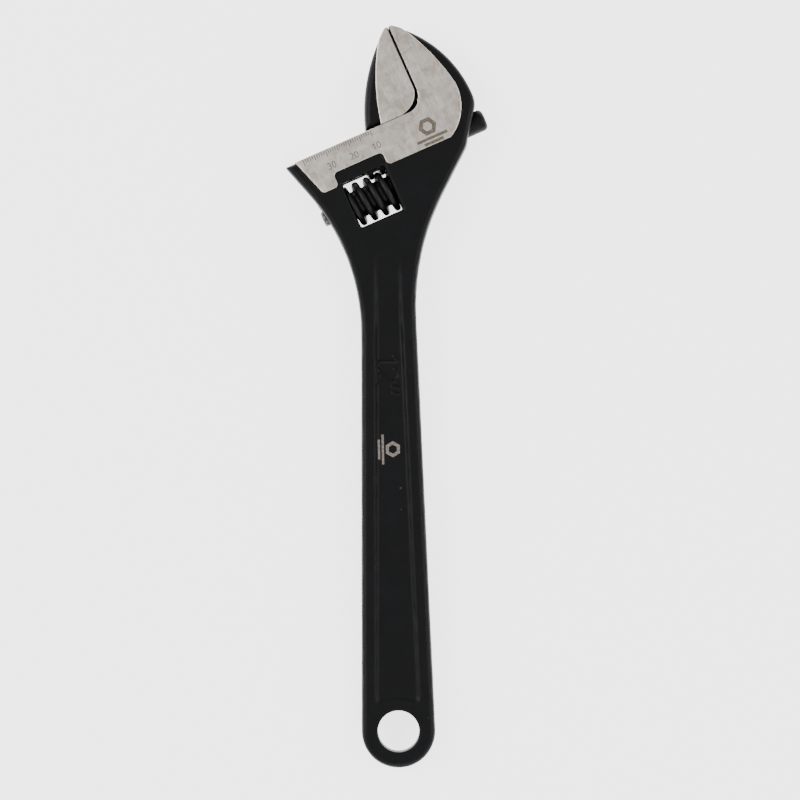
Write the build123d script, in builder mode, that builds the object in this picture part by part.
from build123d import *
import os
from math import asin, cos, pi, radians, sin, tan

# Adjustable wrench, 300 mm class, with its jaws closed. Sizes are in millimetres.
# The origin is the middle of the hanging hole, half way through the thickness. +Y runs up the
# handle to the head, +X is across the handle, and +Z is the side that shows the jaw scale.
# The head leans over, so it is drawn in its own axes: u runs along the jaw slide and v runs
# across it, towards the jaw tips.

# ---- Driving dimensions -----------------------------------------------------------------

# handle
head_y = 245.0              # along the handle, from the hanging hole to the head's own origin
end_radius = 15.2           # rounded end of the handle
waist_y = 165.0             # where the handle is narrowest
waist_half_width = 11.5
hang_hole_radius = 8.5
eye_half_thickness = 5.0
waist_half_thickness = 5.5
rim_width = 5.2             # flange on each side of the recess
web_half_thickness = 4.2
eyelet_radius = 12.3        # raised ring around the hanging hole
recess_start = 10.7
neck_recess_half_width = 6.1
neck_recess_drop = 70.0     # the recess is this narrow from here, below the head's own origin
recess_rise_drop = 90.0     # its floor starts to rise this far below it
flare_top_drop = 39.0       # and the handle has swelled into the head this far below it

# head, in u and v
head_angle = 22.5
slide_v = 3.8               # surface that the movable jaw slides on
shoulder_u = -43.0          # open end of the slide
shoulder_lean = 40.0        # lean of the left flank from the handle, in degrees
flank_radius_left = 86.7
heel_u, heel_v = 28.6, -18.6
heel_lean = 28.1            # lean of the right flank from the handle, in degrees
flank_radius_right = 102.0
back_u = 39.8               # widest point of the fixed jaw's back
back_lean = 36.0            # lean of the short edge that joins the heel to the back
back_straight = 3.8         # straight run up the back before it starts to curve in
heel_round, back_round = 8.0, 11.0
tip_v = 39.6
tip_width = 1.55
tip_round = 0.6
jaw_face_u = 18.9           # where the two gripping faces meet
face_gap = 0.3              # left between the gripping faces when the jaws are closed
throat_radius = 6.5

# thickness of the head
cheek_half_thickness = 8.6  # ground cheek, measured at the slide surface
cheek_taper = 4.75          # degrees
cheek_step = 1.2            # the black forging lies this far below the ground cheek
edge_round = 2.2
blank_half_height = 15.0    # side profile above the head, before the cheeks are cut

# movable jaw
jaw_width = 25.65           # gripping face to the back corner, along the slide
jaw_back_radius = 73.0
jaw_tip_width = 1.35
jaw_corner_radius = 10.0
jaw_edge_round = 2.6
slide_clearance = 0.12
travel = 34.0               # widest opening; the rack has a groove for every thread crest it meets
neck_left = -4.0
neck_end_gap = 1.0          # solid metal between the closed end of the slot and the throat
neck_half_thickness = 2.6
neck_clearance = 0.15
neck_overlap = 0.5          # the neck starts this far inside the jaw

# rack and worm
rack_v = -10.7
rack_radius = 4.5
rack_left = -13.7
rack_right = 40.3
rack_end_round = 2.0
rack_clearance = 0.15
tooth_tip_radius = 6.85     # nearest the rack's teeth come to the worm's axis
pitch = 5.0
worm_v = -21.85
worm_radius = 9.05
worm_root_radius = 5.75
worm_end_clearance = 0.2
thread_half_root = 1.6
thread_half_crest = 1.1
thread_crest_round = 0.9
mesh_clearance = 0.3
backlash_side = 0.15        # the closed jaw leans against one side of the thread by this much
crest_u = -14.65            # a thread crest points at the rack here
thread_turns = 7            # swept past both ends of the worm, then trimmed to it
turns_before_crest = 4
window_left, window_right = -24.2, -5.6
window_gap_above = 0.9      # from the worm to the edge of its window
window_gap_below = 0.6
window_corner = 0.8

# pin and spring
pin_radius = 2.0
pin_running_clearance = 0.06
pin_blind_end = 3.0
pin_end_gap = 0.3           # left at the bottom of the pin's blind hole
pin_head_width = 1.25       # the head stands out this far around the shank
pin_head_u = -37.3
pin_head_thickness = 2.3
pin_slot_width = 1.0
pin_slot_depth = 1.0
pin_head_round = 1.1
spring_wire = 0.6
spring_clearance = 0.4      # inside and outside the coil
spring_turns = 4
spring_pocket_depth = 4.6
spring_end_gap = 0.1        # left at each end of the coil

# bright ground areas on the cheeks, in u and v
ground_left_top_u = -38.7
ground_left_low_u = -32.8
ground_low_v = -12.5
ground_relief_v = -6.7      # the ground area stops here above the window
ground_relief_margin = 1.5  # and this far to each side of it
ground_corner_radius = 1.8
ground_tip_margin = 0.3     # the ground area passes the fixed jaw's tip by this much
ground_heel_u = 24.3
ground_back_margin = 4.85   # black strip along the fixed jaw's back
ground_widest_v = 7.5
ground_heel_radius = 20.6
ground_back_radius = 89.3
jaw_ground_margin = 6.9     # black strip at the foot of the movable jaw's back
jaw_ground_radius = 89.4

# ---- Axes of the head -------------------------------------------------------------------

u_dir = Vector(cos(radians(head_angle)), sin(radians(head_angle)), 0)
v_dir = Vector(-sin(radians(head_angle)), cos(radians(head_angle)), 0)
head = Plane(origin=(0, head_y, 0), x_dir=u_dir, z_dir=(0, 0, 1))
reach = 400.0               # longer than anything it has to cut through


def at(u, v):
    """The point of the wrench that lies at u, v in the head."""
    return head.from_local_coords(Vector(u, v, 0))


def station(u):
    """A plane across the slide, at u. Its own axes are v and the thickness."""
    return Plane(origin=at(u, 0), x_dir=v_dir, z_dir=u_dir)


def cheek_at(v):
    """Half the thickness between the ground cheeks."""
    return cheek_half_thickness - (v - slide_v) * tan(radians(cheek_taper))


# ---- Outlines ---------------------------------------------------------------------------

window_top = worm_v + worm_radius + window_gap_above
window_bottom = worm_v - worm_radius - window_gap_below
taper = asin((end_radius - waist_half_width) / waist_y)


def half_width(y):
    """Half the width of the tapered handle."""
    return (end_radius - y * sin(taper)) / cos(taper)


def flank_corner(start, lean, side):
    """Where a flank that leans back from start meets the side of the handle."""
    slope = tan(radians(lean))
    y = (end_radius / cos(taper) - side * start.X + start.Y * slope) / (slope + tan(taper))
    return Vector(side * half_width(y), y)


fixed_face_u = jaw_face_u + face_gap / 2
moving_face_u = jaw_face_u - face_gap / 2
shoulder = at(shoulder_u, slide_v)
heel = at(heel_u, heel_v)
back_low_v = heel_v + (back_u - heel_u) / tan(radians(back_lean))
back_start = at(back_u, back_low_v + back_straight)
side_left = Vector(-end_radius * cos(taper), end_radius * sin(taper))
side_right = Vector(end_radius * cos(taper), end_radius * sin(taper))

with BuildSketch(Plane.XY) as body_outline:
    with BuildLine():
        left = FilletPolyline(
            shoulder, flank_corner(shoulder, shoulder_lean, -1), side_left,
            radius=[flank_radius_left])
        end = ThreePointArc(side_left, (0, -end_radius), side_right)
        right = FilletPolyline(
            side_right, flank_corner(heel, heel_lean, 1), heel, at(back_u, back_low_v), back_start,
            radius=[flank_radius_right, heel_round, back_round])
        back = TangentArc(back_start, at(fixed_face_u + tip_width, tip_v), tangent=v_dir)
        FilletPolyline(
            at(fixed_face_u + tip_width, tip_v), at(fixed_face_u, tip_v),
            at(fixed_face_u, slide_v), shoulder, radius=[tip_round, throat_radius])
    make_face()
body_flank = left.edges() + end.edges() + right.edges() + back.edges()

jaw_base_v = slide_v + slide_clearance
jaw_tip_u = moving_face_u - jaw_tip_width
with BuildSketch(Plane.XY) as jaw_outline:
    with BuildLine():
        jaw_back = RadiusArc(
            at(moving_face_u - jaw_width, jaw_base_v), at(jaw_tip_u, tip_v), jaw_back_radius)
        FilletPolyline(
            at(jaw_tip_u, tip_v), at(moving_face_u, tip_v), at(moving_face_u, jaw_base_v),
            at(moving_face_u - jaw_width, jaw_base_v), radius=[tip_round, jaw_corner_radius])
    make_face()
past_tip_v = tip_v + 2

# areas of the cheeks that are ground bright, drawn past the outlines that trim them
ground_heel = Vector(ground_heel_u, ground_low_v)
ground_widest = Vector(back_u - ground_back_margin, ground_widest_v)
ground_tip = Vector(fixed_face_u + tip_width + ground_tip_margin, past_tip_v)
jaw_ground_foot = Vector(moving_face_u - jaw_width + jaw_ground_margin, slide_v - 1)
jaw_ground_tip = Vector(jaw_tip_u, past_tip_v)
with BuildSketch(head) as body_ground_area:
    with BuildLine():
        FilletPolyline(
            (ground_left_top_u, slide_v + 1), (ground_left_low_u, ground_low_v),
            (window_left - ground_relief_margin, ground_low_v),
            (window_left - ground_relief_margin, ground_relief_v),
            (window_right + ground_relief_margin, ground_relief_v),
            (window_right + ground_relief_margin, ground_low_v), ground_heel,
            radius=ground_corner_radius)
        RadiusArc(ground_heel, ground_widest, -ground_heel_radius)
        RadiusArc(ground_widest, ground_tip, -ground_back_radius)
        Polyline(
            ground_tip, (ground_left_top_u, past_tip_v), (ground_left_top_u, slide_v + 1))
    make_face()

with BuildSketch(head) as jaw_ground_area:
    with BuildLine():
        RadiusArc(jaw_ground_foot, jaw_ground_tip, jaw_ground_radius)
        Polyline(
            jaw_ground_tip, (back_u, past_tip_v), (back_u, slide_v - 1), jaw_ground_foot)
    make_face()


# ---- Shared steps -----------------------------------------------------------------------

def rim_edges(part, flank):
    """The top and bottom edges of the part that run along the given flank."""
    def on_flank(edge):
        level = abs(edge.tangent_at(0.5).Z) < 0.9
        places = [edge.position_at(t) for t in (0.0, 0.5, 1.0)]
        flat = [Vector(p.X, p.Y, 0) for p in places]
        return level and all(min(line.distance_to(p) for line in flank) < 0.01 for p in flat)
    return part.edges().filter_by(on_flank)


def slab(plane, upper):
    """A section that is symmetric about the wrench's mid-plane, from the points of its upper side."""
    with BuildSketch(plane) as section:
        with BuildLine():
            Polyline(*upper, *[(x, -z) for x, z in reversed(upper)], upper[0])
        make_face()
    return section.sketch


def cheek_section(step):
    """Section across the head, whose cheeks lie the given step below the ground ones."""
    low_v, bend_v = -reach, window_top - 2
    return slab(station(0), [
        (low_v, cheek_at(bend_v) - step), (bend_v, cheek_at(bend_v) - step),
        (past_tip_v, cheek_at(past_tip_v) - step)])


def ground_cheeks(outline, area):
    """The full-thickness block whose two cheeks are ground."""
    with BuildPart() as cheeks:
        with BuildSketch(Plane.XY):
            add(outline.sketch)
            add(area.sketch, mode=Mode.INTERSECT)
        extrude(amount=reach, both=True)
        extrude(cheek_section(0), amount=reach, both=True, mode=Mode.INTERSECT)
    return cheeks.part


slide_surface = Plane(origin=at(0, slide_v), x_dir=u_dir, z_dir=v_dir)


def neck_sketch(left, clearance):
    """The neck as seen along v, from left to its rounded right end, grown by the clearance."""
    half = neck_half_thickness + clearance
    middle = fixed_face_u - throat_radius - neck_end_gap - neck_half_thickness
    with Locations(((left + middle) / 2, 0)):
        Rectangle(middle - left, 2 * half)
    with Locations((middle, 0)):
        Circle(half)


def thread_half_width(radius):
    """Half the width of the worm's thread, measured along the worm at the given radius."""
    slope = (thread_half_root - thread_half_crest) / (worm_radius - worm_root_radius)
    return thread_half_root - (radius - worm_root_radius) * slope


lead_slope = pitch / (pi * (worm_radius + tooth_tip_radius))
worm_reach_u = window_right - worm_end_clearance + travel + thread_half_root
groove_count = 1 + int((worm_reach_u + lead_slope * rack_radius - crest_u) / pitch)
last_groove_u = crest_u + (groove_count - 1) * pitch

# ---- Body: handle, head and fixed jaw in one forging ------------------------------------

flare_top_y = head_y - flare_top_drop
forged_half_thickness = cheek_at(window_top - 2) - cheek_step

with BuildPart() as recess:
    with BuildSketch(Plane.XY):
        with BuildLine():
            inner = [
                (half_width(recess_start) - rim_width, recess_start),
                (neck_recess_half_width, head_y - neck_recess_drop),
                (neck_recess_half_width, flare_top_y + 5)]
            Polyline(*inner, *[(-x, y) for x, y in reversed(inner)], inner[0])
        make_face()
        Circle(eyelet_radius, mode=Mode.SUBTRACT)
    extrude(amount=reach)
    with BuildSketch(Plane.YZ):
        with BuildLine():
            floor = Line((0, web_half_thickness), (head_y - recess_rise_drop, web_half_thickness))
            rise = Spline(
                floor @ 1, (flare_top_y, forged_half_thickness), tangents=[(1, 0), (1, 0.35)])
            Polyline(rise @ 1, (flare_top_y + 10, reach), (0, reach), floor @ 0)
        make_face()
    extrude(amount=reach, both=True, mode=Mode.INTERSECT)

with BuildPart() as body:
    with BuildSketch(Plane.XY):
        add(body_outline.sketch)
    extrude(amount=reach, both=True)
    with BuildSketch(Plane.YZ):
        with BuildLine():
            for side in (1, -1):
                low = Line((-end_radius - 1, side * eye_half_thickness),
                           (waist_y, side * waist_half_thickness))
                flare = Spline(
                    low @ 1, (flare_top_y, side * forged_half_thickness),
                    tangents=[(1, 0), (1, 0)])
                Polyline(flare @ 1, (flare_top_y, side * blank_half_height),
                         (head_y + reach, side * blank_half_height))
            Line((-end_radius - 1, eye_half_thickness), (-end_radius - 1, -eye_half_thickness))
            Line((head_y + reach, blank_half_height), (head_y + reach, -blank_half_height))
        make_face()
    extrude(amount=reach, both=True, mode=Mode.INTERSECT)
    extrude(cheek_section(cheek_step), amount=reach, both=True, mode=Mode.INTERSECT)
    fillet(rim_edges(body, body_flank), edge_round)
    add(recess.part, mode=Mode.SUBTRACT)
    add(recess.part.mirror(Plane.XY), mode=Mode.SUBTRACT)
    add(ground_cheeks(body_outline, body_ground_area))

    # channel for the rack, right through the head, and the slot above it for the jaw's neck
    with BuildSketch(station(-reach / 2)):
        with Locations((rack_v, 0)):
            Circle(rack_radius + rack_clearance)
    extrude(amount=reach, mode=Mode.SUBTRACT)
    with BuildSketch(slide_surface):
        neck_sketch(-reach / 2, neck_clearance)
    extrude(amount=rack_v - slide_v, mode=Mode.SUBTRACT)

    # window for the worm
    with BuildSketch(head):
        with Locations(((window_left + window_right) / 2, (window_top + window_bottom) / 2)):
            RectangleRounded(window_right - window_left, window_top - window_bottom, window_corner)
    extrude(amount=reach, both=True, mode=Mode.SUBTRACT)

    # hole for the worm's pin: running in the left wall, tight and blind in the right one
    with BuildSketch(station(-reach / 2)):
        with Locations((worm_v, 0)):
            Circle(pin_radius + pin_running_clearance)
    extrude(amount=reach / 2 + window_left + 1, mode=Mode.SUBTRACT)
    with BuildSketch(station(window_right - 1)):
        with Locations((worm_v, 0)):
            Circle(pin_radius)
    extrude(amount=pin_blind_end + 1 - window_right, mode=Mode.SUBTRACT)
    with BuildSketch(station(-reach / 2)):
        with Locations((worm_v, 0)):
            Circle(pin_radius + pin_head_width + pin_running_clearance)
    extrude(amount=reach / 2 + pin_head_u + pin_head_thickness, mode=Mode.SUBTRACT)

    with BuildSketch(Plane.XY):
        Circle(hang_hole_radius)
    extrude(amount=reach, both=True, mode=Mode.SUBTRACT)
body.part.label = "body"

# ---- Movable jaw: jaw, neck and round rack in one forging -------------------------------

with BuildPart() as movable_jaw:
    with BuildSketch(Plane.XY):
        add(jaw_outline.sketch)
    extrude(amount=reach, both=True)
    extrude(cheek_section(cheek_step), amount=reach, both=True, mode=Mode.INTERSECT)
    fillet(rim_edges(movable_jaw, jaw_back.edges()), jaw_edge_round)
    add(ground_cheeks(jaw_outline, jaw_ground_area))

    # the neck reaches down through the slot to the rack
    with BuildSketch(slide_surface.offset(slide_clearance + neck_overlap)):
        neck_sketch(neck_left, 0)
    extrude(amount=rack_v - slide_v - slide_clearance - neck_overlap)
    with BuildSketch(station(rack_left)):
        with Locations((rack_v, 0)):
            Circle(rack_radius)
    extrude(amount=rack_right - rack_left)
    rack_ends = movable_jaw.edges().filter_by(GeomType.CIRCLE).filter_by(
        lambda edge: abs(edge.radius - rack_radius) < 0.01 and edge.length > 2 * pi * rack_radius - 0.1)
    fillet(rack_ends, rack_end_round)

    # web that closes the throat behind the jaw's corner, half way through the thickness
    with BuildSketch(Plane.XY):
        with BuildLine():
            corner = FilletPolyline(
                at(moving_face_u, jaw_base_v + 2 * jaw_corner_radius),
                at(moving_face_u, jaw_base_v),
                at(moving_face_u - 2 * jaw_corner_radius, jaw_base_v), radius=throat_radius)
            Line(corner @ 1, corner @ 0)
        make_face()
    extrude(amount=neck_half_thickness, both=True)

    # flat that the tooth tips lie in, then one slanting groove for each thread crest
    tooth_v = worm_v + tooth_tip_radius
    with BuildSketch(head):
        with Locations(((rack_left + last_groove_u) / 2 - 2, tooth_v)):
            Rectangle(last_groove_u - rack_left + 4, rack_radius, align=(Align.CENTER, Align.MAX))
    extrude(amount=rack_radius + 1, both=True, mode=Mode.SUBTRACT)
    along_groove = u_dir * lead_slope + Vector(0, 0, 1)
    for groove in range(groove_count):
        with BuildSketch(head):
            with BuildLine():
                u = crest_u + backlash_side + groove * pitch
                low, high = tooth_v - 1, worm_v + worm_radius + mesh_clearance
                wide = thread_half_width(tooth_tip_radius - 1) + mesh_clearance
                narrow = thread_half_width(worm_radius + mesh_clearance) + mesh_clearance
                Polyline((u - wide, low), (u + wide, low), (u + narrow, high), (u - narrow, high),
                         (u - wide, low))
            make_face()
        extrude(amount=rack_radius + 1, dir=along_groove, both=True, mode=Mode.SUBTRACT)
movable_jaw.part.label = "movable_jaw"

# ---- Worm: thumb screw that moves the jaw -----------------------------------------------

spring_radius = pin_radius + spring_clearance + spring_wire / 2
worm_left = window_left + worm_end_clearance
worm_length = window_right - window_left - 2 * worm_end_clearance
worm_base = Plane(origin=at(worm_left, worm_v), x_dir=v_dir, z_dir=u_dir)
thread_start_u = crest_u - turns_before_crest * pitch
sunk = 0.4                  # the thread starts this far inside the core

with BuildPart() as worm:
    with BuildLine() as thread_path:
        Helix(pitch, thread_turns * pitch,
              worm_root_radius, center=at(thread_start_u, worm_v), direction=u_dir)
    thread_plane = Plane(
        origin=thread_path.line @ 0,
        x_dir=(thread_path.line @ 0) - at(thread_start_u, worm_v),
        z_dir=thread_path.line % 0)
    with BuildSketch(thread_plane) as thread_section:
        height = worm_radius - worm_root_radius
        with BuildLine():
            half_foot = thread_half_width(worm_root_radius - sunk)
            flanks = FilletPolyline(
                (-sunk, half_foot), (height, thread_half_crest), (height, -thread_half_crest),
                (-sunk, -half_foot), radius=thread_crest_round)
            Line(flanks @ 1, flanks @ 0)
        make_face()
    sweep(path=thread_path.line, is_frenet=True)
    with BuildSketch(worm_base):
        Circle(worm_radius + 1)
    extrude(amount=worm_length, mode=Mode.INTERSECT)
    with BuildSketch(worm_base):
        Circle(worm_root_radius)
    extrude(amount=worm_length)
    with BuildSketch(worm_base):
        Circle(pin_radius + pin_running_clearance)
    extrude(amount=worm_length, mode=Mode.SUBTRACT)
    with BuildSketch(worm_base.offset(worm_length - spring_pocket_depth)):
        Circle(spring_radius + spring_wire / 2 + spring_clearance)
    extrude(amount=spring_pocket_depth, mode=Mode.SUBTRACT)
worm.part.label = "worm"

# ---- Pin that the worm turns on ---------------------------------------------------------

pin_plane = Plane(origin=at(pin_head_u, worm_v), x_dir=v_dir, z_dir=u_dir)

with BuildPart() as worm_pin:
    with BuildSketch(pin_plane):
        Circle(pin_radius + pin_head_width)
    extrude(amount=pin_head_thickness)
    fillet(worm_pin.edges().sort_by(Axis(pin_plane.origin, u_dir))[0], pin_head_round)
    with BuildSketch(pin_plane):
        Rectangle(3 * (pin_radius + pin_head_width), pin_slot_width)
    extrude(amount=pin_slot_depth, mode=Mode.SUBTRACT)
    with BuildSketch(pin_plane.offset(pin_slot_depth)):
        Circle(pin_radius)
    extrude(amount=pin_blind_end - pin_end_gap - pin_head_u - pin_slot_depth)
worm_pin.part.label = "worm_pin"

# ---- Spring that steadies the worm ------------------------------------------------------

spring_start = worm_left + worm_length - spring_pocket_depth + spring_wire / 2 + spring_end_gap
spring_height = window_right - spring_end_gap - spring_wire / 2 - spring_start

with BuildPart() as worm_spring:
    with BuildLine() as coil:
        Helix(spring_height / spring_turns, spring_height, spring_radius,
              center=at(spring_start, worm_v), direction=u_dir)
    with BuildSketch(Plane(origin=coil.line @ 0, z_dir=coil.line % 0)):
        Circle(spring_wire / 2)
    sweep(path=coil.line, is_frenet=True)
worm_spring.part.label = "worm_spring"

# ---- One file for each piece ------------------------------------------------------------

os.makedirs("parts", exist_ok=True)
export_step(body.part, "parts/body.step")
export_step(movable_jaw.part, "parts/movable_jaw.step")
export_step(worm.part, "parts/worm.step")
export_step(worm_pin.part, "parts/worm_pin.step")
export_step(worm_spring.part, "parts/worm_spring.step")
